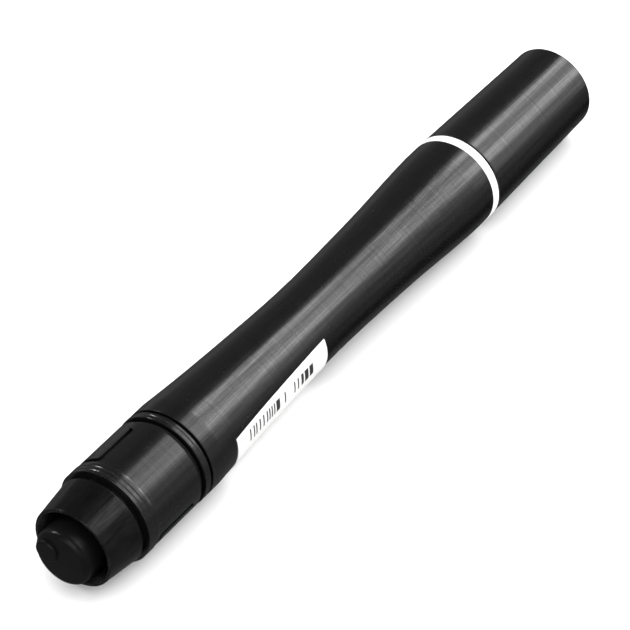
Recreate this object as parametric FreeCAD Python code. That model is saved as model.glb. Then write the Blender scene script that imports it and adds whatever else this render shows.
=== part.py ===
"""Counterfeit detector pen: a pocket ultraviolet light that runs on two AAA cells.

The pen lies along X, with the push button at -X and the light at +X, and +Z is up.
Stations along the pen are millimetres from the tail rim, and radii are from its axis.
Each part is built at its station, and export() moves the origin to the middle of the
pen's overall box, on the axis. Angles round the pen are measured from +Z towards -Y.
"""
import FreeCAD, Part
import math
import os

Vector = FreeCAD.Vector
AXIS_POINT = Vector(0, 0, 0)
ALONG = Vector(1, 0, 0)

# Standard AAA cell
CELL_LENGTH = 44.5
CELL_R = 5.25
CELL_NUB_R = 1.9
CELL_NUB_HEIGHT = 1.0
CELL_JACKET = 0.13
CELL_BASE_BEVEL = 0.3
CELL_SHOULDER_EDGE = 0.5
CELL_NUB_EDGE = 0.25
JACKET_CLEARANCE = 0.01
JACKET_REAR_GAP = 0.4
JACKET_FRONT_GAP = 0.6
WASHER_THICKNESS = 0.3
WASHER_BORE_GAP = 0.2
WASHER_INSET = 1.0
CELLS_SETBACK = 2.0

# Overall stations and radii
BODY_R = 8.0
WAIST_R = 6.5
RIM_R = 6.72
CONE_END = 6.6
CONE_END_R = 7.5
CAP_START = 7.65
CAP_END = 20.2
COLLAR_START = 21.3
COLLAR_END = 22.55
COLLAR_GROOVE_END = 23.1
COLLAR_GROOVE_R = 7.35
TAIL_CREASE = 25.8
WAIST_STATION = 59.5
HEAD_CREASE = 96.05
BARREL_END = 99.6
TRIM_END = 101.15
HEAD_START = 101.45
HEAD_END = 130.6
HEAD_START_R = 8.02
HEAD_FRONT_R = 7.47
TRIM_R = 8.08
# Station and radius along the waist, from crease to crease
WAIST_PROFILE = (
    (TAIL_CREASE, BODY_R), (33.3, 7.48), (46.4, 6.86), (WAIST_STATION, WAIST_R),
    (71.0, 6.75), (81.0, 7.14), (88.0, 7.57), (HEAD_CREASE, BODY_R))

# Edge roundings
FINE_EDGE = 0.1
RING_EDGE = 0.12
SOFT_EDGE = 0.15
MOULDED_EDGE = 0.2
DEEP_EDGE = 0.3

# Bores, threads and fits
CELL_BORE_R = 5.5
THREAD_R = 6.9
THREAD_ROOT_R = 6.4
THREAD_PITCH = 1.0
THREAD_CLEARANCE = 0.1
THREAD_RUN_OUT = 0.1
TAIL_THREAD_LEAD = 0.4
TAIL_THREAD_TURNS = 6
HEAD_THREAD_TURNS = 4
SLIP = 0.03
TAIL_NECK_START = 13.2
HEAD_NECK_END = 107.0

# Cap details
RIDGE_DEPTH = 0.06
RIDGE_WIDTH = 0.26
CAP_RIDGES = (8.25, 9.05)
COLLAR_RIDGES = (22.0,)
GRIP_R = 7.93
GRIP_START = 10.06
GRIP_STEP = 0.35
POCKET_DEPTH = 0.5
POCKET_END = 18.6
POCKET_ARC = 60.0
POCKET_ANGLES = (-48.0, 130.0)
POCKET_CORNER_R = 0.9
PAD_GROOVE = 0.9
PAD_CORNER_R = 0.5

# Push button and switch
BUTTON_R = 4.75
BUTTON_TIP = -3.0
BUTTON_EDGE_R = 1.0
BUTTON_CROWN_DEPTH = 0.15
BUTTON_DOME_DEPTH = 0.04
THUMB_PAD_TIP = -3.45
THUMB_PAD_R = 1.9
THUMB_PAD_OFFSET = 2.3
THUMB_PAD_ANGLE = -69.0
THUMB_PAD_EDGE_R = 0.42
BUTTON_FLANGE_R = 5.9
BUTTON_FLANGE_START = 3.0
BUTTON_FLANGE_END = 4.0
BUTTON_TRAVEL = 1.5
BUTTON_BORE_R = 5.2
RIM_BEVEL_R = 6.3
RIM_BEVEL_DEPTH = 1.2
SWITCH_BORE_R = 6.1
SWITCH_START = 7.2
SWITCH_END = 11.2
SWITCH_PLATE = 0.4
SWITCH_PLATE_GAP = 0.2
SWITCH_RING_LENGTH = 1.0
SWITCH_RING_BORE_R = 4.6
SWITCH_SLOT_WIDTH = 1.0
SWITCH_SLOT_DEPTH = 0.5
BEZEL_END = 12.8
BEZEL_GAP = 0.1
PLUNGER_R = 1.5
PLUNGER_START = 1.0
PLUNGER_BORE_GAP = 0.1
CONTACT_GAP = 0.05

# Springs: coil and wire radii, and turns
RETURN_COIL_R = 2.4
RETURN_WIRE_R = 0.22
RETURN_TURNS = 4
TAIL_COIL_REAR_R = 3.6
TAIL_COIL_FRONT_R = 2.3
TAIL_WIRE_R = 0.35
TAIL_TURNS = 4
FRONT_COIL_REAR_R = 1.3
FRONT_COIL_FRONT_R = 1.8
FRONT_WIRE_R = 0.25
FRONT_TURNS = 3
COIL_END_GAP = 0.01

# Seals
TAIL_SEAL_R = 0.5
HEAD_SEAL_R = 0.4
SEAL_GAP = 0.1

# Paper label on the waist
LABEL_START = 29.6
LABEL_END = 54.4
LABEL_WIDTH = 14.0
LABEL_ANGLE = 126.0
LABEL_GAP = 0.02
LABEL_THICKNESS = 0.08

# Lamp inside the head
SHOULDER_START = 108.0
SHOULDER_END = 109.4
SHOULDER_R = 5.6
LAMP_BORE_R = 6.6
HOLDER_END = 116.6
HOLDER_BORE_R = 4.2
BOARD_START = 115.4
BOARD_THICKNESS = 1.0
BOARD_R = 5.55
BOARD_HOLE_GAP = 0.1
LED_R = 2.5
LED_FLANGE_R = 2.9
LED_FLANGE_LENGTH = 1.0
LED_LENGTH = 6.0
LEAD_R = 0.25
LEAD_SPACING = 2.54
LEAD_REACH = 2.0
INSULATOR_LENGTH = 2.0
CONTACT_HEAD_R = 2.6
CONTACT_HEAD_LENGTH = 1.0
CONTACT_STEM_R = 1.15
CONTACT_STEM_LENGTH = 2.6
RESISTOR_R = 0.8
RESISTOR_LENGTH = 2.6
RESISTOR_HEIGHT = 2.6
RESISTOR_GAP = 2.4
REFLECTOR_END = 126.2
REFLECTOR_MOUTH_R = 5.8
REFLECTOR_THROAT_R = 3.0
REFLECTOR_NECK = 1.4
REFLECTOR_WALL = 0.55
REFLECTOR_LIP = 0.8
REFLECTOR_LIP_BEVEL = 0.4
REFLECTOR_STEPS = 4
LAMP_GAP = 0.1
GASKET_LENGTH = 0.8
LENS_THICKNESS = 1.4
LENS_CHAMFER = 0.1
LENS_RING_LENGTH = 1.6
LENS_RING_BORE_R = 5.7
LENS_RING_FLARE = 0.4
LENS_RING_FLARE_DEPTH = 0.8

# Two lengths closer than this are the same
TOLERANCE = 1e-6

# Stations worked out from the sizes above
REAR_CELL_START = HEAD_NECK_END - CELLS_SETBACK - 2 * CELL_LENGTH
FRONT_CELL_START = REAR_CELL_START + CELL_LENGTH
FRONT_CELL_END = FRONT_CELL_START + CELL_LENGTH
MIDDLE = (THUMB_PAD_TIP + HEAD_END) / 2


def point(x, r):
    """A point of an outline, at station x and radius r."""
    return Vector(x, 0, r)


def rounded_corner(before, corner, after, radius):
    """The two tangent points and the middle point of the arc that rounds a corner."""
    to_before = (before - corner).normalize()
    to_after = (after - corner).normalize()
    half_angle = to_before.getAngle(to_after) / 2
    reach = radius / math.tan(half_angle)
    bisector = (to_before + to_after).normalize()
    centre = corner + bisector * (radius / math.sin(half_angle))
    middle = centre - bisector * radius
    return corner + to_before * reach, middle, corner + to_after * reach


def outline_edges(corners):
    """Lines through (x, r) corners. A corner (x, r, fillet) is rounded to that radius."""
    places = [point(corner[0], corner[1]) for corner in corners]
    edges = []
    last = places[0]
    for index in range(1, len(corners) - 1):
        corner = corners[index]
        if len(corner) == 3:
            start, middle, end = rounded_corner(
                places[index - 1], places[index], places[index + 1], corner[2])
            edges.append(Part.makeLine(last, start))
            edges.append(Part.Arc(start, middle, end).toShape())
            last = end
        else:
            edges.append(Part.makeLine(last, places[index]))
            last = places[index]
    edges.append(Part.makeLine(last, places[-1]))
    return edges


def spin(edges, degrees=360.0):
    """The solid that a closed outline sweeps round the pen's axis."""
    face = Part.Face(Part.Wire(Part.__sortEdges__(edges)))
    return face.revolve(AXIS_POINT, ALONG, degrees)


def turned(corners):
    """A turned part from its closed outline of (x, r) or (x, r, fillet) corners."""
    return spin(outline_edges(list(corners) + [corners[0]]))


def ring(start, end, inner, outer, edge=0.0):
    """A plain ring, with its two outer edges rounded if edge is above zero."""
    if edge > 0:
        outer_corners = [(start, outer, edge), (end, outer, edge)]
    else:
        outer_corners = [(start, outer), (end, outer)]
    return turned([(start, inner)] + outer_corners + [(end, inner)])


def disc(start, end, radius):
    """A plain round disc or rod on the axis."""
    return Part.makeCylinder(radius, end - start, Vector(start, 0, 0), ALONG)


def seal(station, inner, section):
    """A rubber ring of round section, seated on a radius."""
    return Part.makeTorus(inner + section, section, Vector(station, 0, 0), ALONG)


def at_angle(shape, degrees):
    """Turns a shape from the +Z side of the pen by degrees towards -Y."""
    turned_shape = shape.copy()
    turned_shape.rotate(AXIS_POINT, ALONG, degrees)
    return turned_shape


def v_grooves(stations, radius):
    """Outline corners of fine turned grooves in a surface of one radius."""
    corners = []
    for station in stations:
        corners.append((station - RIDGE_WIDTH / 2, radius))
        corners.append((station, radius - RIDGE_DEPTH))
        corners.append((station + RIDGE_WIDTH / 2, radius))
    return corners


def thread_corners(start, turns):
    """Outline corners of an external thread, as parallel ridges one pitch apart."""
    flat = THREAD_PITCH / 8
    rise = THREAD_PITCH * 3 / 8
    corners = []
    for turn in range(turns):
        x = start + turn * THREAD_PITCH
        corners.append((x, THREAD_ROOT_R))
        corners.append((x + rise, THREAD_R))
        corners.append((x + rise + flat, THREAD_R))
        corners.append((x + 2 * rise + flat, THREAD_ROOT_R))
    return corners


def waist_curve(offset=0.0):
    """The barrel's long waisted side, crease to crease, moved outwards by offset."""
    curve = Part.BSplineCurve()
    curve.interpolate([point(x, r + offset) for x, r in WAIST_PROFILE])
    return curve


def barrel():
    """Waisted tube with a threaded neck at each end."""
    tail_side = [
        (TAIL_NECK_START, CELL_BORE_R),
        (TAIL_NECK_START, THREAD_ROOT_R),
    ]
    tail_side += thread_corners(TAIL_NECK_START + TAIL_THREAD_LEAD, TAIL_THREAD_TURNS)
    tail_side += [
        (COLLAR_START, THREAD_ROOT_R),
        (COLLAR_START, THREAD_R),
        (COLLAR_END, THREAD_R),
        (COLLAR_END, COLLAR_GROOVE_R),
        (COLLAR_GROOVE_END, COLLAR_GROOVE_R),
        (COLLAR_GROOVE_END, BODY_R, FINE_EDGE),
        (TAIL_CREASE, BODY_R),
    ]
    seal_floor = THREAD_R - 2 * HEAD_SEAL_R
    seal_start = HEAD_START + SEAL_GAP
    seal_end = seal_start + 2 * HEAD_SEAL_R + SEAL_GAP
    head_side = [
        (HEAD_CREASE, BODY_R),
        (BARREL_END, BODY_R, FINE_EDGE),
        (BARREL_END, THREAD_R),
        (seal_start, THREAD_R),
        (seal_start, seal_floor),
        (seal_end, seal_floor),
        (seal_end, THREAD_ROOT_R),
    ]
    head_side += thread_corners(seal_end + THREAD_RUN_OUT, HEAD_THREAD_TURNS)
    head_side += [
        (HEAD_NECK_END, THREAD_ROOT_R),
        (HEAD_NECK_END, CELL_BORE_R),
        (TAIL_NECK_START, CELL_BORE_R),
    ]
    edges = outline_edges(tail_side) + [waist_curve().toShape()] + outline_edges(head_side)
    return spin(edges)


def rear_collar():
    """Stop ring behind the tail cap, with one fine turned line."""
    return turned(
        [(COLLAR_START, THREAD_R + SLIP), (COLLAR_START, BODY_R, RING_EDGE)]
        + v_grooves(COLLAR_RIDGES, BODY_R)
        + [(COLLAR_END, BODY_R, RING_EDGE), (COLLAR_END, THREAD_R + SLIP)])


def trim_ring():
    """Pale band between the barrel and the head."""
    return ring(BARREL_END, TRIM_END, THREAD_R + SLIP, TRIM_R, SOFT_EDGE)


def tail_seal():
    """Rubber ring in the gap between the tail cap and the collar."""
    return seal((CAP_END + COLLAR_START) / 2, THREAD_ROOT_R + SLIP, TAIL_SEAL_R)


def head_seal():
    """Rubber ring on the neck inside the head."""
    centre = HEAD_START + 1.5 * SEAL_GAP + HEAD_SEAL_R
    return seal(centre, THREAD_R - 2 * HEAD_SEAL_R + SLIP, HEAD_SEAL_R)


def label():
    """Blank paper sticker, a flat rectangle wrapped on the narrowing barrel."""
    inner = waist_curve(LABEL_GAP)
    outer = waist_curve(LABEL_GAP + LABEL_THICKNESS)
    edges = []
    ends = []
    for curve in (inner, outer):
        first = curve.parameter(point(LABEL_START, BODY_R))
        last = curve.parameter(point(LABEL_END, BODY_R))
        side = curve.toShape(first, last)
        edges.append(side)
        ends.append((side.valueAt(first), side.valueAt(last)))
    for end in (0, 1):
        edges.append(Part.makeLine(ends[0][end], ends[1][end]))
    band = spin(edges)
    corners = []
    for end, side in ((0, 1), (1, 1), (1, -1), (0, -1)):
        place = ends[0][end]
        half = place.z * math.sin(LABEL_WIDTH / 2 / place.z)
        beyond = 1.0 if end else -1.0
        corners.append(Vector(place.x + beyond, side * half, 0))
    sheet = Part.Face(Part.makePolygon(corners + [corners[0]]))
    return at_angle(band.common(sheet.extrude(Vector(0, 0, 2 * BODY_R))), LABEL_ANGLE)


def cell(start):
    """Steel can of a cell, with the positive nub towards the light."""
    radius = CELL_R - CELL_JACKET
    shoulder = start + CELL_LENGTH - CELL_NUB_HEIGHT
    return turned([
        (start, 0),
        (start, radius - CELL_BASE_BEVEL),
        (start + CELL_BASE_BEVEL, radius),
        (shoulder, radius, CELL_SHOULDER_EDGE),
        (shoulder, CELL_NUB_R),
        (start + CELL_LENGTH, CELL_NUB_R, CELL_NUB_EDGE),
        (start + CELL_LENGTH, 0),
    ])


def cell_jacket(start):
    """Printed plastic sleeve shrunk round a cell."""
    shoulder = start + CELL_LENGTH - CELL_NUB_HEIGHT
    inner = CELL_R - CELL_JACKET + JACKET_CLEARANCE
    return ring(start + JACKET_REAR_GAP, shoulder - JACKET_FRONT_GAP, inner, CELL_R)


def cell_washers():
    """Insulating washer round the positive nub of each cell."""
    washers = []
    for start in (REAR_CELL_START, FRONT_CELL_START):
        shoulder = start + CELL_LENGTH - CELL_NUB_HEIGHT
        washers.append(ring(
            shoulder, shoulder + WASHER_THICKNESS, CELL_NUB_R + WASHER_BORE_GAP, CELL_R - WASHER_INSET))
    return Part.makeCompound(washers)


def arc_block(start, end, inner, outer, arc, angle, corner_r):
    """A block curved round the pen, centred on an angle, with rounded corners."""
    section = outline_edges(
        [(start, inner), (start, outer), (end, outer), (end, inner), (start, inner)])
    block = spin(section, arc)
    corners = []
    for edge in block.Edges:
        radial = abs(edge.Length - (outer - inner)) < TOLERANCE
        if radial and abs(edge.tangentAt(edge.FirstParameter).x) < TOLERANCE:
            corners.append(edge)
    return at_angle(block.makeFillet(corner_r, corners), angle - arc / 2)


def grip_pads():
    """Two curved pads, flush with the cap, each with a groove on three sides."""
    start = GRIP_START + PAD_GROOVE
    inner = GRIP_R - POCKET_DEPTH + SLIP
    arc = POCKET_ARC - 2 * math.degrees(PAD_GROOVE / GRIP_R)
    pads = []
    for angle in POCKET_ANGLES:
        pads.append(arc_block(start, POCKET_END - SLIP, inner, GRIP_R, arc, angle, PAD_CORNER_R))
    return Part.makeCompound(pads)


def tail_cap():
    """Screwed cap: a ridged ring and a grip with two pockets for pads."""
    outer = [(CAP_START, BODY_R, SOFT_EDGE)] + v_grooves(CAP_RIDGES, BODY_R) + [
        (GRIP_START - GRIP_STEP, BODY_R, DEEP_EDGE),
        (GRIP_START, GRIP_R),
        (CAP_END, GRIP_R, RING_EDGE),
    ]
    bore = [
        (CAP_END, THREAD_R + THREAD_CLEARANCE),
        (BEZEL_END + BEZEL_GAP, THREAD_R + THREAD_CLEARANCE),
        (BEZEL_END + BEZEL_GAP, THREAD_R + SLIP),
        (CAP_START, THREAD_R + SLIP),
    ]
    body = turned(outer + bore)
    floor = GRIP_R - POCKET_DEPTH
    for angle in POCKET_ANGLES:
        body = body.cut(arc_block(
            GRIP_START, POCKET_END, floor, BODY_R + 1, POCKET_ARC, angle, POCKET_CORNER_R))
    return body


def button_bezel():
    """Cone at the tail that guides the button and holds the switch."""
    return turned([
        (RIM_BEVEL_DEPTH, BUTTON_BORE_R),
        (0, RIM_BEVEL_R),
        (0, RIM_R, SOFT_EDGE),
        (CONE_END, CONE_END_R, FINE_EDGE),
        (CONE_END, THREAD_R),
        (BEZEL_END, THREAD_R),
        (BEZEL_END, SWITCH_BORE_R),
        (BUTTON_FLANGE_START, SWITCH_BORE_R),
        (BUTTON_FLANGE_START, BUTTON_BORE_R),
    ])


def push_button():
    """Domed button with a raised thumb pad off its centre, a flange and a socket."""
    crown = BUTTON_TIP + BUTTON_CROWN_DEPTH
    crown_r = BUTTON_R - BUTTON_EDGE_R
    side = crown + BUTTON_EDGE_R
    slant = BUTTON_EDGE_R * math.sin(math.pi / 4)
    dome = Part.Arc(
        point(BUTTON_TIP, 0),
        point(BUTTON_TIP + BUTTON_DOME_DEPTH, crown_r / 2),
        point(crown, crown_r))
    corner = Part.Arc(
        point(crown, crown_r), point(side - slant, crown_r + slant), point(side, BUTTON_R))
    rest = outline_edges([
        (side, BUTTON_R),
        (BUTTON_FLANGE_START, BUTTON_R),
        (BUTTON_FLANGE_START, BUTTON_FLANGE_R),
        (BUTTON_FLANGE_END, BUTTON_FLANGE_R),
        (BUTTON_FLANGE_END, PLUNGER_R + SLIP),
        (PLUNGER_START, PLUNGER_R + SLIP),
        (PLUNGER_START, 0),
        (BUTTON_TIP, 0),
    ])
    body = spin([dome.toShape(), corner.toShape()] + rest)
    place = Vector(THUMB_PAD_TIP, 0, THUMB_PAD_OFFSET)
    pad = Part.makeCylinder(THUMB_PAD_R, -THUMB_PAD_TIP, place, ALONG)
    front = [edge for edge in pad.Edges if abs(edge.CenterOfMass.x - THUMB_PAD_TIP) < TOLERANCE]
    pad = pad.makeFillet(THUMB_PAD_EDGE_R, front)
    return body.fuse(at_angle(pad, THUMB_PAD_ANGLE)).removeSplitter()


def plunger():
    """Rod that carries the button's push to the contact plate."""
    end = SWITCH_END - BUTTON_TRAVEL - CONTACT_GAP
    return turned([
        (PLUNGER_START, 0),
        (PLUNGER_START, PLUNGER_R),
        (end, PLUNGER_R, DEEP_EDGE),
        (end, 0),
    ])


def switch_housing():
    """Moulded guide for the plunger."""
    inner = PLUNGER_R + PLUNGER_BORE_GAP
    return ring(SWITCH_START, SWITCH_END, inner, SWITCH_BORE_R - SLIP, MOULDED_EDGE)


def switch_plate():
    """Brass contact plate behind the housing."""
    return disc(SWITCH_END, SWITCH_END + SWITCH_PLATE, SWITCH_BORE_R - SWITCH_PLATE_GAP)


def switch_ring():
    """Threaded ring that clamps the housing and plate in the bezel."""
    start = SWITCH_END + SWITCH_PLATE
    body = ring(start, start + SWITCH_RING_LENGTH, SWITCH_RING_BORE_R, SWITCH_BORE_R - SLIP)
    floor = start + SWITCH_RING_LENGTH - SWITCH_SLOT_DEPTH
    corner = Vector(floor, -BODY_R, -SWITCH_SLOT_WIDTH / 2)
    slot = Part.makeBox(SWITCH_RING_LENGTH, 2 * BODY_R, SWITCH_SLOT_WIDTH, corner)
    return body.cut(slot)


def coil(start, end, start_r, end_r, wire_r, turns):
    """Wire spring along the axis, its coil radius changing evenly from end to end."""
    first = start + wire_r + COIL_END_GAP
    height = end - wire_r - COIL_END_GAP - first
    taper = math.degrees(math.atan((end_r - start_r) / height))
    path = Part.makeLongHelix(height / turns, height, start_r, taper)
    section = Part.Wire(Part.makeCircle(wire_r, Vector(start_r, 0, 0), Vector(0, 1, 0)))
    spring = Part.Wire(path.Edges).makePipeShell([section], True, True)
    spring.rotate(AXIS_POINT, Vector(0, 1, 0), 90)
    spring.translate(Vector(first, 0, 0))
    return spring


def return_spring():
    """Spring round the plunger that pushes the button back."""
    return coil(
        BUTTON_FLANGE_END, SWITCH_START, RETURN_COIL_R, RETURN_COIL_R, RETURN_WIRE_R, RETURN_TURNS)


def tail_spring():
    """Tapered spring that presses the rear cell forwards."""
    start = SWITCH_END + SWITCH_PLATE
    return coil(
        start, REAR_CELL_START, TAIL_COIL_REAR_R, TAIL_COIL_FRONT_R, TAIL_WIRE_R, TAIL_TURNS)


def front_spring():
    """Small spring between the front cell's nub and the lamp's contact."""
    end = SHOULDER_END - CONTACT_HEAD_LENGTH
    return coil(
        FRONT_CELL_END, end, FRONT_COIL_REAR_R, FRONT_COIL_FRONT_R, FRONT_WIRE_R, FRONT_TURNS)


def head_shell():
    """Tapered tube that holds the lamp and screws on the barrel."""
    return turned([
        (HEAD_START, THREAD_R + THREAD_CLEARANCE),
        (HEAD_START, HEAD_START_R, FINE_EDGE),
        (HEAD_END, HEAD_FRONT_R, DEEP_EDGE),
        (HEAD_END, LAMP_BORE_R, FINE_EDGE),
        (SHOULDER_END, LAMP_BORE_R),
        (SHOULDER_END, SHOULDER_R),
        (SHOULDER_START, SHOULDER_R),
        (SHOULDER_START, THREAD_R + THREAD_CLEARANCE),
    ])


def led_holder():
    """Aluminium sleeve that carries the board and takes its heat."""
    outer = LAMP_BORE_R - SLIP
    return turned([
        (SHOULDER_END, HOLDER_BORE_R),
        (SHOULDER_END, outer),
        (HOLDER_END, outer),
        (HOLDER_END, BOARD_R + SLIP),
        (BOARD_START, BOARD_R + SLIP),
        (BOARD_START, HOLDER_BORE_R),
    ])


def contact_insulator():
    """Plastic disc that keeps the positive contact off the holder."""
    end = SHOULDER_END + INSULATOR_LENGTH
    return ring(SHOULDER_END, end, CONTACT_STEM_R + SLIP, HOLDER_BORE_R - SLIP)


def positive_contact():
    """Brass rivet that meets the front spring."""
    start = SHOULDER_END - CONTACT_HEAD_LENGTH
    end = SHOULDER_END + CONTACT_STEM_LENGTH
    return turned([
        (start, 0),
        (start, CONTACT_HEAD_R, MOULDED_EDGE),
        (SHOULDER_END, CONTACT_HEAD_R),
        (SHOULDER_END, CONTACT_STEM_R),
        (end, CONTACT_STEM_R),
        (end, 0),
    ])


def resistor():
    """Current-limiting resistor with its lead to the board."""
    start = SHOULDER_END + RESISTOR_GAP
    place = Vector(start, 0, RESISTOR_HEIGHT)
    body = Part.makeCylinder(RESISTOR_R, RESISTOR_LENGTH, place, ALONG)
    lead = Part.makeCylinder(LEAD_R, BOARD_START - start, place, ALONG)
    return body.fuse(lead)


def lead_places():
    """Where the two leads of the lamp cross the board."""
    return [Vector(0, side * LEAD_SPACING / 2, 0) for side in (-1, 1)]


def led_board():
    """Round circuit board with two lead holes."""
    board = disc(BOARD_START, BOARD_START + BOARD_THICKNESS, BOARD_R)
    hole_r = LEAD_R + BOARD_HOLE_GAP
    for place in lead_places():
        hole = Part.makeCylinder(hole_r, BOARD_THICKNESS, place + ALONG * BOARD_START, ALONG)
        board = board.cut(hole)
    return board


def led_leads():
    """The lamp's two wire leads."""
    start = BOARD_START - LEAD_REACH
    length = LEAD_REACH + BOARD_THICKNESS
    leads = []
    for place in lead_places():
        leads.append(Part.makeCylinder(LEAD_R, length, place + ALONG * start, ALONG))
    return Part.makeCompound(leads)


def uv_led():
    """Round 5 mm ultraviolet lamp with a domed front."""
    base = BOARD_START + BOARD_THICKNESS
    dome_start = base + LED_LENGTH - LED_R
    dome = Part.Arc(
        point(dome_start, LED_R),
        point(dome_start + LED_R * math.sin(math.pi / 4), LED_R * math.cos(math.pi / 4)),
        point(dome_start + LED_R, 0))
    sides = outline_edges([
        (dome_start + LED_R, 0),
        (base, 0),
        (base, LED_FLANGE_R),
        (base + LED_FLANGE_LENGTH, LED_FLANGE_R),
        (base + LED_FLANGE_LENGTH, LED_R),
        (dome_start, LED_R),
    ])
    return spin([dome.toShape()] + sides)


def reflector():
    """Thin parabolic cup round the lamp."""
    throat = HOLDER_END + REFLECTOR_NECK
    depth = REFLECTOR_END - throat
    growth = (REFLECTOR_MOUTH_R ** 2 - REFLECTOR_THROAT_R ** 2) / depth
    places = []
    for step in range(REFLECTOR_STEPS + 1):
        x = depth * step / REFLECTOR_STEPS
        places.append(point(throat + x, math.sqrt(REFLECTOR_THROAT_R ** 2 + growth * x)))
    cup = Part.BSplineCurve()
    cup.interpolate(places)
    lip_start = REFLECTOR_END - REFLECTOR_LIP
    outer = LAMP_BORE_R - LAMP_GAP
    neck_r = REFLECTOR_THROAT_R + 2 * REFLECTOR_WALL
    rest = outline_edges([
        (REFLECTOR_END, REFLECTOR_MOUTH_R),
        (REFLECTOR_END, outer),
        (lip_start, outer),
        (lip_start - REFLECTOR_LIP_BEVEL, REFLECTOR_MOUTH_R + REFLECTOR_WALL / 2),
        (throat, neck_r),
        (HOLDER_END, neck_r),
        (HOLDER_END, REFLECTOR_THROAT_R),
        (throat, REFLECTOR_THROAT_R),
    ])
    return spin([cup.toShape()] + rest)


def lens_gasket():
    """Rubber ring between the reflector and the lens."""
    end = REFLECTOR_END + GASKET_LENGTH
    return ring(REFLECTOR_END, end, REFLECTOR_MOUTH_R, LAMP_BORE_R - LAMP_GAP)


def lens():
    """Flat glass window with a small edge chamfer."""
    start = REFLECTOR_END + GASKET_LENGTH
    end = start + LENS_THICKNESS
    edge = LAMP_BORE_R - LAMP_GAP
    return turned([
        (start, 0),
        (start, edge - LENS_CHAMFER),
        (start + LENS_CHAMFER, edge),
        (end - LENS_CHAMFER, edge),
        (end, edge - LENS_CHAMFER),
        (end, 0),
    ])


def lens_ring():
    """Threaded ring that holds the lens in the head."""
    start = REFLECTOR_END + GASKET_LENGTH + LENS_THICKNESS
    end = start + LENS_RING_LENGTH
    return turned([
        (start, LENS_RING_BORE_R),
        (start, LAMP_BORE_R - SLIP),
        (end, LAMP_BORE_R - SLIP, FINE_EDGE),
        (end, LENS_RING_BORE_R + LENS_RING_FLARE, FINE_EDGE),
        (end - LENS_RING_FLARE_DEPTH, LENS_RING_BORE_R),
    ])


NODES = {
    "barrel": barrel,
    "rear_collar": rear_collar,
    "trim_ring": trim_ring,
    "tail_seal": tail_seal,
    "head_seal": head_seal,
    "label": label,
    "rear_cell": lambda: cell(REAR_CELL_START),
    "front_cell": lambda: cell(FRONT_CELL_START),
    "rear_cell_jacket": lambda: cell_jacket(REAR_CELL_START),
    "front_cell_jacket": lambda: cell_jacket(FRONT_CELL_START),
    "cell_washers": cell_washers,
    "tail_cap": tail_cap,
    "grip_pads": grip_pads,
    "button_bezel": button_bezel,
    "switch_housing": switch_housing,
    "switch_plate": switch_plate,
    "switch_ring": switch_ring,
    "push_button": push_button,
    "plunger": plunger,
    "return_spring": return_spring,
    "tail_spring": tail_spring,
    "front_spring": front_spring,
    "head_shell": head_shell,
    "led_holder": led_holder,
    "contact_insulator": contact_insulator,
    "positive_contact": positive_contact,
    "resistor": resistor,
    "led_board": led_board,
    "led_leads": led_leads,
    "uv_led": uv_led,
    "reflector": reflector,
    "lens_gasket": lens_gasket,
    "lens": lens,
    "lens_ring": lens_ring,
}


def export():
    """Writes one STEP per part, with the origin at the middle of the whole pen."""
    os.makedirs("parts", exist_ok=True)
    for name, build in NODES.items():
        shape = build()
        shape.translate(Vector(-MIDDLE, 0, 0))
        shape.exportStep(f"parts/{name}.step")


export()
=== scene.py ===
"""Looks of the counterfeit detector pen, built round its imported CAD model.

The pen lies along X on a pale floor, with the button at -X. Lengths are metres.
Angles round the pen are turns from +Z towards -Y.
"""
import math

import bpy
from mathutils import Matrix, Vector


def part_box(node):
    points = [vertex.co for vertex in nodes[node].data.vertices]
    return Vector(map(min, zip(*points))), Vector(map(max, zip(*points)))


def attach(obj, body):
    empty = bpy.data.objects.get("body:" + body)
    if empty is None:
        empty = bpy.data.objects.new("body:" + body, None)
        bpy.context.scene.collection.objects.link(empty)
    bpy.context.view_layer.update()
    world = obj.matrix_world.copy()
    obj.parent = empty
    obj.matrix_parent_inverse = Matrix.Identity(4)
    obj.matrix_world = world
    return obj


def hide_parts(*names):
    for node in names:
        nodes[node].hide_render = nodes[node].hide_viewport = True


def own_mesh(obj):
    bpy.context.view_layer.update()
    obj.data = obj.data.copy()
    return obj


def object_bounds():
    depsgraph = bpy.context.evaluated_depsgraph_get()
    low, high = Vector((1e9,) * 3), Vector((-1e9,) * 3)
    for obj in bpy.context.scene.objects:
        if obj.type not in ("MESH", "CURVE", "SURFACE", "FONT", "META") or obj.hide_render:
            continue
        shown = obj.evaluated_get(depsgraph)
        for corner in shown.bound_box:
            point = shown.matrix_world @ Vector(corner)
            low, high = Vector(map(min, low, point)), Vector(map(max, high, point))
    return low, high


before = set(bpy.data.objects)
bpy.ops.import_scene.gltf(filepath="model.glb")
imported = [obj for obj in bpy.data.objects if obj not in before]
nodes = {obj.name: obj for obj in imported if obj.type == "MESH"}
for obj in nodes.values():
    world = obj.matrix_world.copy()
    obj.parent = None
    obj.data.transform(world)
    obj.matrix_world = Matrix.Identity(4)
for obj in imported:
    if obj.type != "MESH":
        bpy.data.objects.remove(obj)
cad_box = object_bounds()

MM = 0.001


# ---------------------------------------------------------------- small helpers

def shade(colour, share=1.0):
    """An opaque colour, scaled by a share."""
    return tuple(share * part for part in colour) + (1.0,)


def grey(level, tint=(1.0, 1.0, 1.0)):
    return shade(tint, level)


def place(name, data):
    """A new object in the scene."""
    obj = bpy.data.objects.new(name, data)
    bpy.context.scene.collection.objects.link(obj)
    return obj


# ---------------------------------------------------------------- node helpers

# Most of a noise lies between these values
NOISE_LOW = 0.3
NOISE_HIGH = 0.7
# Bends smaller than this are not edges
EDGE_BEND = 0.02
EDGE_SHARPNESS = 12.0
EDGE_SAMPLES = 4
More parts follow.
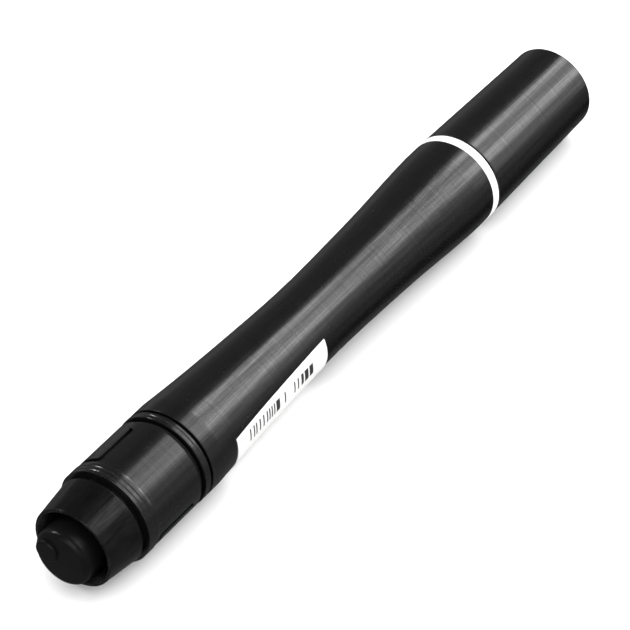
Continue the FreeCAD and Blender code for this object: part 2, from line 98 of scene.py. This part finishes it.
# Share of the surroundings that is seen from deep in a groove, and from open surfaces
SEEN_DEEP = 0.35
SEEN_OPEN = 0.85
SEEN_SAMPLES = 8


class Nodes:
    """A node tree under construction."""

    def __init__(self, tree):
        self.tree = tree

    def feed(self, socket, value):
        """Gives an input a value, or links another node's output to it."""
        if isinstance(value, bpy.types.NodeSocket):
            self.tree.links.new(value, socket)
        else:
            socket.default_value = value

    def add(self, kind, inputs=None, **settings):
        """A new node. Inputs are values or sockets, by name or number."""
        node = self.tree.nodes.new(kind)
        for key, value in settings.items():
            setattr(node, key, value)
        for key, value in (inputs or {}).items():
            self.feed(node.inputs[key], value)
        return node

    def math(self, operation, *values, clamp=False):
        inputs = dict(enumerate(values))
        return self.add("ShaderNodeMath", inputs, operation=operation, use_clamp=clamp).outputs[0]

    def spread(self, value, low, high, out_low, out_high, **settings):
        """Maps a value's range onto another, clamped."""
        inputs = {"Value": value, "From Min": low, "From Max": high, "To Min": out_low, "To Max": out_high}
        return self.add("ShaderNodeMapRange", inputs, **settings).outputs["Result"]

    def vary(self, noise, low, high):
        """Maps the usual span of a noise onto a range."""
        return self.spread(noise, NOISE_LOW, NOISE_HIGH, low, high)

    def mix(self, share, first, second):
        """Blends two colours."""
        node = self.add("ShaderNodeMix", data_type="RGBA")
        for number, value in ((0, share), (6, first), (7, second)):
            self.feed(node.inputs[number], value)
        return node.outputs[2]

    def ramp(self, value, stops):
        """Greys along a value from 0 to 1."""
        node = self.add("ShaderNodeValToRGB", {"Fac": value})
        elements = node.color_ramp.elements
        for number, (position, level) in enumerate(stops):
            stop = elements[number] if number < 2 else elements.new(position)
            stop.position = position
            stop.color = grey(level)
        return node.outputs["Color"]

    def turn(self, across, up):
        """The angle round the pen's axis."""
        return self.math("ARCTAN2", self.math("MULTIPLY", across, -1.0), up)

    def is_glossy_ray(self):
        return self.add("ShaderNodeLightPath").outputs["Is Glossy Ray"]


class Shader(Nodes):
    """A node material under construction."""

    def __init__(self, name):
        self.material = bpy.data.materials.new(name)
        self.material.use_nodes = True
        super().__init__(self.material.node_tree)
        self.surface = self.tree.nodes["Principled BSDF"]
        self.point = self.add("ShaderNodeTexCoord").outputs["Object"]

    def axis(self, name):
        """One coordinate of the shading point, in metres."""
        return self.add("ShaderNodeSeparateXYZ", {0: self.point}).outputs[name]

    def noise(self, size, detail=2.0, roughness=0.5):
        """Noise from 0 to 1 with features of about this size in metres."""
        inputs = {"Vector": self.point, "Scale": 1 / size, "Detail": detail, "Roughness": roughness}
        return self.add("ShaderNodeTexNoise", inputs).outputs["Fac"]

    def rings(self, pitch, detail=2.0):
        """Noise that changes along the pen only, as fine turned lines do."""
        inputs = {"W": self.math("MULTIPLY", self.axis("X"), 1 / pitch), "Scale": 1.0, "Detail": detail}
        return self.add("ShaderNodeTexNoise", inputs, noise_dimensions="1D").outputs["Fac"]

    def streaks(self, width, length):
        """Noise drawn out along the pen, for faint lines that run lengthwise."""
        scale = (1 / length, 1 / width, 1 / width)
        drawn = self.add("ShaderNodeVectorMath", {0: self.point, 1: scale}, operation="MULTIPLY").outputs[0]
        return self.add("ShaderNodeTexNoise", {"Vector": drawn, "Scale": 1.0, "Detail": 2.0}).outputs["Fac"]

    def edge(self, radius):
        """1 on sharp edges and in sharp corners, and 0 on open surfaces."""
        bevel = self.add("ShaderNodeBevel", {"Radius": radius}, samples=EDGE_SAMPLES).outputs[0]
        flat = self.add("ShaderNodeNewGeometry").outputs["Normal"]
        alike = self.add("ShaderNodeVectorMath", {0: bevel, 1: flat}, operation="DOT_PRODUCT")
        bend = self.math("SUBTRACT", self.math("SUBTRACT", 1.0, alike.outputs["Value"]), EDGE_BEND)
        return self.math("MULTIPLY", bend, EDGE_SHARPNESS, clamp=True)

    def openness(self, reach):
        """0 deep in grooves and crevices, up to 1 on open surfaces. Used as painted shade that dims
        reflections in grooves.
        """
        seen = self.add("ShaderNodeAmbientOcclusion", {"Distance": reach}, samples=SEEN_SAMPLES)
        return self.spread(seen.outputs["AO"], SEEN_DEEP, SEEN_OPEN, 0.0, 1.0)

    def bump(self, height, depth, below=None):
        """A bumpy surface, on top of another one if it is given."""
        inputs = {"Height": height, "Distance": depth, "Strength": 1.0}
        if below is not None:
            inputs["Normal"] = below
        return self.add("ShaderNodeBump", inputs).outputs[0]

    def between(self, value, low, high):
        """1 where the value is between low and high, else 0."""
        above = self.math("GREATER_THAN", value, low)
        below = self.math("LESS_THAN", value, high)
        return self.math("MULTIPLY", above, below)

    def set(self, **values):
        """Sets Principled inputs. Underscores in a name stand for spaces."""
        for key, value in values.items():
            self.feed(self.surface.inputs[key.replace("_", " ")], value)


# ---------------------------------------------------------------- materials

COOL = (1.0, 1.0, 1.03)
WARM = (1.0, 1.0, 0.99)
PAPER_TINT = (1.0, 1.0, 0.985)
WORN_METAL = grey(0.1)
INK = grey(0.03)

# Anodised metal: smudges, lengthwise streaks, turned lines and bands, worn edges, and painted shade in
# grooves
CLOUD_SIZE = 9 * MM
SMUDGE_SIZE = 2.5 * MM
STREAK_WIDTH = 0.35 * MM
STREAK_LENGTH = 30 * MM
STREAK_DEPTH = 0.008 * MM
LINE_PITCH = 0.22 * MM
BAND_PITCH = 0.6 * MM
BAND_SHINE = (0.92, 1.08)
MIDDLE_SHINE = 0.5
GROOVE_REACH = 0.7 * MM
METAL_EDGE = 0.12 * MM
ALONG_THE_LINES = 0.25
# Spans of the smudge noise that turn into scuffs, into roughness, and into roughness of glass
SCUFFED_SMUDGES = (0.35, 0.7)
ROUGH_SMUDGES = (0.3, 0.75)
GLASS_SMUDGES = (0.5, 0.8)
SCUFF_SHARE = (0.2, 1.0)

# Sizes of the other finishes' grain, lines and clouds, and the depths of their bumps
MOULD_GRAIN = 0.16 * MM
MOULD_EDGE = 0.2 * MM
BRIGHT_PITCH = 0.15 * MM
BRIGHT_DEPTH = 0.0015 * MM
BRIGHT_CLOUD = 4 * MM
FIBRE_SIZE = 0.12 * MM
FIBRE_DEPTH = 0.003 * MM
RUBBER_GRAIN = 0.1 * MM
RUBBER_DEPTH = 0.004 * MM
TURNED_PITCH = 0.1 * MM
PLAIN_GRAIN = 0.2 * MM
FINE_DEPTH = 0.002 * MM
SMALL_CLOUD = 1.5 * MM
PLASTIC_CLOUD = 2 * MM
SOFT_CLOUD = 3 * MM


def anodised(
        name, level=0.0022, roughness=0.25, ior=1.9, grain=0.55,
        line_depth=0.0008 * MM, streak=0.1, wear=0.5):
    """Black anodised aluminium with turned lines, faint smudges, worn edges and painted shade that dims its
    reflections in grooves.
    """
    m = Shader(name)
    cloud = m.noise(CLOUD_SIZE, detail=3.0)
    smudge = m.noise(SMUDGE_SIZE, detail=4.0, roughness=0.6)
    lines = m.rings(LINE_PITCH, detail=3.0)
    drawn = m.streaks(STREAK_WIDTH, STREAK_LENGTH)
    bands = m.rings(BAND_PITCH)
    streaked = m.vary(drawn, MIDDLE_SHINE - streak, MIDDLE_SHINE + streak)
    shine = m.math("MULTIPLY", streaked, m.vary(bands, *BAND_SHINE))
    edge = m.edge(METAL_EDGE)
    scuff = m.math("MULTIPLY", edge, m.spread(smudge, *SCUFFED_SMUDGES, *SCUFF_SHARE), clamp=True)
    base = m.mix(cloud, grey(level * 0.8), grey(level * 1.2, COOL))
    m.set(
        Base_Color=m.mix(m.math("MULTIPLY", scuff, wear), base, WORN_METAL),
        Roughness=m.spread(smudge, *ROUGH_SMUDGES, roughness - 0.02, roughness + 0.03),
        Metallic=0.0,
        IOR=ior,
        # Specular level times openness: painted shade in grooves and crevices
        Specular_IOR_Level=m.math("MULTIPLY", shine, m.openness(GROOVE_REACH)),
        Anisotropic=grain,
        Anisotropic_Rotation=ALONG_THE_LINES,
        Tangent=m.add("ShaderNodeTangent", direction_type="RADIAL", axis="X").outputs[0],
        Normal=m.bump(lines, line_depth, below=m.bump(drawn, STREAK_DEPTH)))
    return m.material


def moulded(name, level=0.003, roughness=0.3, ior=1.5):
    """Black moulding with a fine grain."""
    m = Shader(name)
    skin = m.noise(MOULD_GRAIN)
    cloud = m.noise(SOFT_CLOUD, detail=3.0)
    edge = m.edge(MOULD_EDGE)
    m.set(
        Base_Color=m.mix(edge, m.mix(cloud, grey(level * 0.8), grey(level * 1.25)), grey(level * 2.5)),
        Roughness=m.vary(cloud, roughness - 0.04, roughness + 0.06),
        IOR=ior,
        Normal=m.bump(skin, FINE_DEPTH))
    return m.material


def bright_band(name):
    """White satin ring with fine turned lines."""
    m = Shader(name)
    lines = m.rings(BRIGHT_PITCH)
    cloud = m.noise(BRIGHT_CLOUD)
    m.set(
        Base_Color=m.mix(cloud, grey(0.86), grey(0.92, WARM)),
        Roughness=m.vary(cloud, 0.25, 0.33),
        IOR=1.5,
        Normal=m.bump(lines, BRIGHT_DEPTH))
    return m.material


# The strip of bars on the label: its distances from the label's ends, and its angles
MARKS_TAIL_MARGIN = 2.893 * MM
MARKS_HEAD_MARGIN = 3.591 * MM
MARKS_TOP = math.radians(79)
MARKS_BOTTOM = math.radians(96)
MARK_UNIT = 0.33 * MM
MARK_CHANCE = 0.52


def plain_bars(m):
    """1 on upright bars of chance widths that say nothing, else 0."""
    low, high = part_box("label")
    along = m.axis("X")
    step = m.math("FLOOR", m.math("MULTIPLY", along, 1 / MARK_UNIT))
    chance = m.add("ShaderNodeTexWhiteNoise", {"W": step}, noise_dimensions="1D").outputs["Value"]
    lengthwise = m.between(along, low.x + MARKS_TAIL_MARGIN, high.x - MARKS_HEAD_MARGIN)
    crosswise = m.between(m.turn(m.axis("Y"), m.axis("Z")), MARKS_TOP, MARKS_BOTTOM)
    inside = m.math("MULTIPLY", lengthwise, crosswise)
    return m.math("MULTIPLY", inside, m.math("GREATER_THAN", chance, MARK_CHANCE))


def paper(name):
    """White semi-gloss paper with faint fibres and a strip of plain bars."""
    m = Shader(name)
    fibre = m.noise(FIBRE_SIZE, detail=4.0)
    cloud = m.noise(SOFT_CLOUD)
    sheet = m.mix(cloud, grey(0.66), grey(0.70, PAPER_TINT))
    m.set(
        Base_Color=m.mix(plain_bars(m), sheet, INK),
        Roughness=m.vary(fibre, 0.42, 0.52),
        Normal=m.bump(fibre, FIBRE_DEPTH))
    return m.material


def rubber(name):
    """Matt black rubber."""
    m = Shader(name)
    skin = m.noise(RUBBER_GRAIN, detail=3.0)
    m.set(
        Base_Color=m.mix(skin, grey(0.002), grey(0.004)),
        Roughness=m.vary(skin, 0.6, 0.75),
        Normal=m.bump(skin, RUBBER_DEPTH))
    return m.material


def metal(name, colour, roughness, turned=True):
    """Bare metal, turned along the pen or drawn."""
    m = Shader(name)
    cloud = m.noise(SMALL_CLOUD, detail=3.0)
    lines = m.rings(TURNED_PITCH) if turned else m.noise(PLAIN_GRAIN)
    m.set(
        Base_Color=m.mix(cloud, shade(colour, 0.8), shade(colour)),
        Metallic=1.0,
        Roughness=m.vary(cloud, roughness - 0.04, roughness + 0.08),
        Normal=m.bump(lines, FINE_DEPTH))
    return m.material


def plastic(name, colour, roughness):
    """Coloured plastic, card or lacquer with a fine grain."""
    m = Shader(name)
    cloud = m.noise(PLASTIC_CLOUD, detail=3.0)
    skin = m.noise(PLAIN_GRAIN)
    m.set(
        Base_Color=m.mix(cloud, shade(colour, 0.85), shade(colour)),
        Roughness=m.vary(cloud, roughness - 0.05, roughness + 0.05),
        Normal=m.bump(skin, FINE_DEPTH))
    return m.material


def clear(name, tint, roughness=0.02):
    """Clear glass or epoxy with a few faint smudges."""
    m = Shader(name)
    smudge = m.noise(SMALL_CLOUD, detail=4.0)
    m.set(
        Base_Color=shade(tint),
        Transmission_Weight=1.0,
        Roughness=m.spread(smudge, *GLASS_SMUDGES, roughness, roughness + 0.06),
        IOR=1.5)
    return m.material


BLACK = anodised("anodised_black")
SATIN_BLACK = anodised(
    "anodised_satin", level=0.0015, roughness=0.22, ior=1.55, grain=0.4, line_depth=0.0016 * MM,
    streak=0.22, wear=0.6)
BUTTON = moulded("button_black", level=0.002, roughness=0.32, ior=1.42)
HOUSING = moulded("switch_black", roughness=0.45)
NICKEL = metal("steel_nickel", colour=(0.72, 0.72, 0.70), roughness=0.25)
WIRE = metal("spring_wire", colour=(0.68, 0.68, 0.70), roughness=0.3, turned=False)
BRASS = metal("contact_brass", colour=(0.78, 0.60, 0.28), roughness=0.25)
ALUMINIUM = metal("lamp_aluminium", colour=(0.75, 0.75, 0.77), roughness=0.35)
MIRROR = metal("reflector_mirror", colour=(0.92, 0.92, 0.93), roughness=0.08)
JACKET = plastic("cell_jacket", colour=(0.08, 0.14, 0.30), roughness=0.3)
CARD = plastic("washer_card", colour=(0.80, 0.79, 0.74), roughness=0.6)
BOARD = plastic("board_green", colour=(0.04, 0.20, 0.09), roughness=0.35)
LACQUER = plastic("resistor_lacquer", colour=(0.66, 0.54, 0.36), roughness=0.35)
EPOXY = clear("lamp_epoxy", tint=(0.93, 0.94, 1.0))
GLASS = clear("lens_glass", tint=(0.97, 0.98, 1.0))

# Each material, and the CAD nodes that have it
FINISHES = (
    (BLACK, ("barrel", "rear_collar", "tail_cap", "grip_pads", "head_shell", "lens_ring")),
    (SATIN_BLACK, ("button_bezel",)),
    (BUTTON, ("push_button",)),
    (HOUSING, ("switch_housing",)),
    (bright_band("band_white"), ("trim_ring",)),
    (paper("label_paper"), ("label",)),
    (rubber("seal_rubber"), ("tail_seal", "head_seal", "lens_gasket")),
    (NICKEL, ("rear_cell", "front_cell")),
    (WIRE, ("tail_spring", "front_spring", "led_leads")),
    (BRASS, ("switch_plate", "switch_ring", "plunger", "positive_contact")),
    (ALUMINIUM, ("led_holder",)),
    (MIRROR, ("reflector",)),
    (JACKET, ("rear_cell_jacket", "front_cell_jacket")),
    (CARD, ("cell_washers", "contact_insulator")),
    (BOARD, ("led_board",)),
    (LACQUER, ("resistor",)),
    (EPOXY, ("uv_led",)),
    (GLASS, ("lens",)),
)


def paint(obj, material):
    obj.data.materials.clear()
    obj.data.materials.append(material)


for material, names in FINISHES:
    for name in names:
        paint(nodes[name], material)


# ---------------------------------------------------------------- return spring

WIRE_R = 0.22 * MM
SPRING_TURNS = 4
WIRE_SIDES = 12
RINGS_PER_TURN = 32
RINGS = SPRING_TURNS * RINGS_PER_TURN


def coil_points(start, end, radius):
    """Rings of points round a coiled wire, its centre running from start to end along X."""
    points = []
    slope = math.atan2((end - start) / SPRING_TURNS, 2 * math.pi * radius)
    rise, run = math.sin(slope), math.cos(slope)
    for ring in range(RINGS + 1):
        angle = 2 * math.pi * SPRING_TURNS * ring / RINGS
        out = Vector((0, math.sin(angle), math.cos(angle)))
        ahead = Vector((rise, run * math.cos(angle), -run * math.sin(angle)))
        side = ahead.cross(out)
        centre = out * radius + Vector((start + (end - start) * ring / RINGS, 0, 0))
        for corner in range(WIRE_SIDES):
            around = 2 * math.pi * corner / WIRE_SIDES
            points.append(centre + WIRE_R * (out * math.cos(around) + side * math.sin(around)))
    return points


def coil_faces():
    """Quads between neighbouring rings, and a face on each end."""
    faces = []
    for ring in range(RINGS):
        for corner in range(WIRE_SIDES):
            here = ring * WIRE_SIDES + corner
            there = ring * WIRE_SIDES + (corner + 1) % WIRE_SIDES
            faces.append((here, there, there + WIRE_SIDES, here + WIRE_SIDES))
    faces.append(tuple(range(WIRE_SIDES - 1, -1, -1)))
    faces.append(tuple(range(RINGS * WIRE_SIDES, (RINGS + 1) * WIRE_SIDES)))
    return faces


def return_spring():
    """A coil of wire in place of the return spring's CAD part, carried with the tail cap."""
    low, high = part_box("return_spring")
    radius = (high.z - low.z) / 2 - WIRE_R
    mesh = bpy.data.meshes.new("return_coil")
    mesh.from_pydata(coil_points(low.x + WIRE_R, high.x - WIRE_R, radius), [], coil_faces())
    mesh.shade_smooth()
    spring = place("return_coil", mesh)
    paint(spring, WIRE)
    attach(spring, "tail_cap")
    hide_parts("return_spring")
    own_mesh(spring)


return_spring()


# ---------------------------------------------------------------- floor

FLOOR_HALF = 3.0
FLOOR_CLOUD = 60 * MM
FLOOR_GREYS = (grey(0.86), grey(0.88))
# What glossy parts see of the floor, a painted reflection: distance from the pen in millimetres, and
# radiance. The low levels near the pen are a painted shadow, the dip further out a painted dark band.
FLOOR_MIRRORED = (
    (0, 0.12), (8.5, 0.11), (10.5, 0.03), (16, 0.02), (22, 0.13),
    (30, 0.11), (36, 0.07), (45, 0.13), (80, 0.24))
FLOOR_MIRRORED_REACH = 80 * MM
FLOOR_MIRRORED_TAIL = 0.12
FLOOR_MIRRORED_TAIL_END = (-25 * MM, -5 * MM)


def floor_material():
    """Pale and matt, but glossy parts see a painted glow in its place, with a painted shadow along the pen.
    """
    m = Shader("floor_pale")
    cloud = m.noise(FLOOR_CLOUD)
    m.set(Base_Color=m.mix(cloud, *FLOOR_GREYS), Roughness=0.7, Specular_IOR_Level=0.0)
    away = m.math("MULTIPLY", m.math("ABSOLUTE", m.axis("Y")), 1 / FLOOR_MIRRORED_REACH)
    stops = [(distance * MM / FLOOR_MIRRORED_REACH, level) for distance, level in FLOOR_MIRRORED]
    middle = m.ramp(away, stops)
    forward = m.spread(m.axis("X"), *FLOOR_MIRRORED_TAIL_END, 0.0, 1.0)
    # Glossy rays see this painted emission instead of the lit floor, even towards the tail
    painted_reflection = m.add("ShaderNodeEmission", {"Color": m.mix(forward, grey(FLOOR_MIRRORED_TAIL), middle)})
    both = m.add("ShaderNodeMixShader", {
        0: m.is_glossy_ray(), 1: m.surface.outputs[0], 2: painted_reflection.outputs[0]})
    m.feed(m.tree.nodes["Material Output"].inputs["Surface"], both.outputs[0])
    return m.material


def floor():
    corners = ((-1, -1), (1, -1), (1, 1), (-1, 1))
    level = cad_box[0].z
    mesh = bpy.data.meshes.new("floor")
    mesh.from_pydata([(x * FLOOR_HALF, y * FLOOR_HALF, level) for x, y in corners], [], [(0, 1, 2, 3)])
    mesh.materials.append(floor_material())
    place("floor", mesh)


floor()


# ---------------------------------------------------------------- camera

VIEW_AZIMUTH = math.radians(-55.59)
VIEW_ELEVATION = math.radians(41.25)
VIEW_DISTANCE = 0.490
VIEW_LENS = 182.9
SENSOR = 36.0
AIM_STATION = -3.98 * MM
AIM_RIGHT = 0.65 * MM
AIM_UP = 0.62 * MM


def camera():
    sin_a, cos_a = math.sin(VIEW_AZIMUTH), math.cos(VIEW_AZIMUTH)
    sin_e, cos_e = math.sin(VIEW_ELEVATION), math.cos(VIEW_ELEVATION)
    right = Vector((cos_a, sin_a, 0))
    back = Vector((sin_a * cos_e, -cos_a * cos_e, sin_e))
    up = back.cross(right)
    aim = Vector((AIM_STATION, 0, 0)) + right * AIM_RIGHT + up * AIM_UP
    axes = Matrix((right, up, back)).transposed().to_4x4()
    data = bpy.data.cameras.new("camera")
    data.sensor_width = SENSOR
    data.lens = VIEW_LENS
    eye = place("camera", data)
    eye.matrix_world = Matrix.Translation(aim + back * VIEW_DISTANCE) @ axes
    bpy.context.scene.camera = eye


camera()


# ---------------------------------------------------------------- lights

def panel(name, angle, spread, radiance, distance, near, far, tilt=0.0, glossy=True):
    """A soft panel along the pen from near to far, at an angle round it.

    A tilt swings its far end round its near end, towards +Y. A panel that is not
    glossy lights matt parts only.
    """
    turn = math.radians(angle)
    width = 2 * distance * math.tan(math.radians(spread) / 2)
    data = bpy.data.lights.new(name, "AREA")
    data.shape = "RECTANGLE"
    data.size = far - near
    data.size_y = width
    data.energy = radiance * math.pi * (far - near) * width
    out = Vector((0, -math.sin(turn), math.cos(turn)))
    along = Vector((1, 0, 0))
    axes = Matrix((along, out.cross(along), out)).transposed().to_4x4()
    near_end = Matrix.Translation(out * distance + along * near)
    middle = Matrix.Translation(((far - near) / 2, 0, 0))
    light = place(name, data)
    light.matrix_world = near_end @ axes @ Matrix.Rotation(math.radians(tilt), 4, "Z") @ middle
    light.visible_glossy = glossy


panel("panel_wide", angle=29, spread=66, radiance=1.2, distance=0.75, near=0.53, far=1.9)
panel("panel_low", angle=71, spread=18, radiance=0.32, distance=0.75, near=0.53, far=1.9)
panel("panel_back", angle=10, spread=13, radiance=2.5, distance=0.70, near=0.53, far=1.8, tilt=20)
panel("panel_front", angle=45, spread=17, radiance=2.0, distance=0.70, near=0.50, far=1.8)
panel("panel_side", angle=82, spread=26, radiance=0.7, distance=0.70, near=0.72, far=1.8)
panel("panel_gap", angle=29, spread=17, radiance=4.5, distance=0.68, near=0.45, far=0.51)
panel("panel_tip", angle=34, spread=34, radiance=0.8, distance=0.68, near=0.12, far=0.40)
panel("panel_rear", angle=20, spread=50, radiance=1.0, distance=0.75, near=-1.9, far=-0.5)
panel("fill_above", angle=0, spread=70, radiance=1.5, distance=0.9, near=-0.9, far=0.9, glossy=False)
panel("fill_front", angle=45, spread=50, radiance=0.7, distance=0.9, near=-0.9, far=0.9, glossy=False)

LAMP_SIZE = 0.12
LAMP_RADIANCE = 40.0
LAMP_PLACE = Vector((-0.2, 0.77, 0.6))


def lamp():
    """A small lamp overhead, seen only in rounded edges that face the tail."""
    data = bpy.data.lights.new("lamp", "AREA")
    data.shape = "DISK"
    data.size = LAMP_SIZE
    data.energy = LAMP_RADIANCE * math.pi * math.pi * (LAMP_SIZE / 2) ** 2
    light = place("lamp", data)
    light.location = LAMP_PLACE
    light.rotation_euler = LAMP_PLACE.to_track_quat("Z", "Y").to_euler()


lamp()

# Glow of the room as glossy parts see it: angles round the pen, with radiances
ROOM_GLOW = (
    (-180, 0.05), (-90, 0.13), (-60, 0.08), (-15, 0.05), (0, 0.12),
    (62, 0.2), (78, 0.2), (92, 0.15), (180, 0.1))
# Their glow towards both ends of the pen. It sets in between these shares of a direction along X
ROOM_ENDS = 0.7
ROOM_ENDS_START = 0.86
ROOM_ENDS_FULL = 0.96
ROOM_AMBIENT = 0.95


def room():
    """World light: even for matt parts and the camera, and changing round the pen for glossy parts."""
    world = bpy.data.worlds.new("room")
    world.use_nodes = True
    w = Nodes(world.node_tree)
    way = w.add("ShaderNodeSeparateXYZ", {0: w.add("ShaderNodeTexCoord").outputs["Generated"]}).outputs
    circle = w.math("MULTIPLY_ADD", w.turn(way["Y"], way["Z"]), 0.5 / math.pi, 0.5)
    glow = w.ramp(circle, [(degrees / 360 + 0.5, level) for degrees, level in ROOM_GLOW])
    endward = w.math("ABSOLUTE", way["X"])
    at_ends = w.spread(endward, ROOM_ENDS_START, ROOM_ENDS_FULL, 0.0, 1.0, interpolation_type="SMOOTHSTEP")
    glossy = w.mix(at_ends, glow, grey(ROOM_ENDS))
    both = w.mix(w.is_glossy_ray(), grey(ROOM_AMBIENT), glossy)
    w.feed(w.tree.nodes["Background"].inputs["Color"], both)
    bpy.context.scene.world = world


room()
bpy.context.scene.view_settings.view_transform = "Standard"
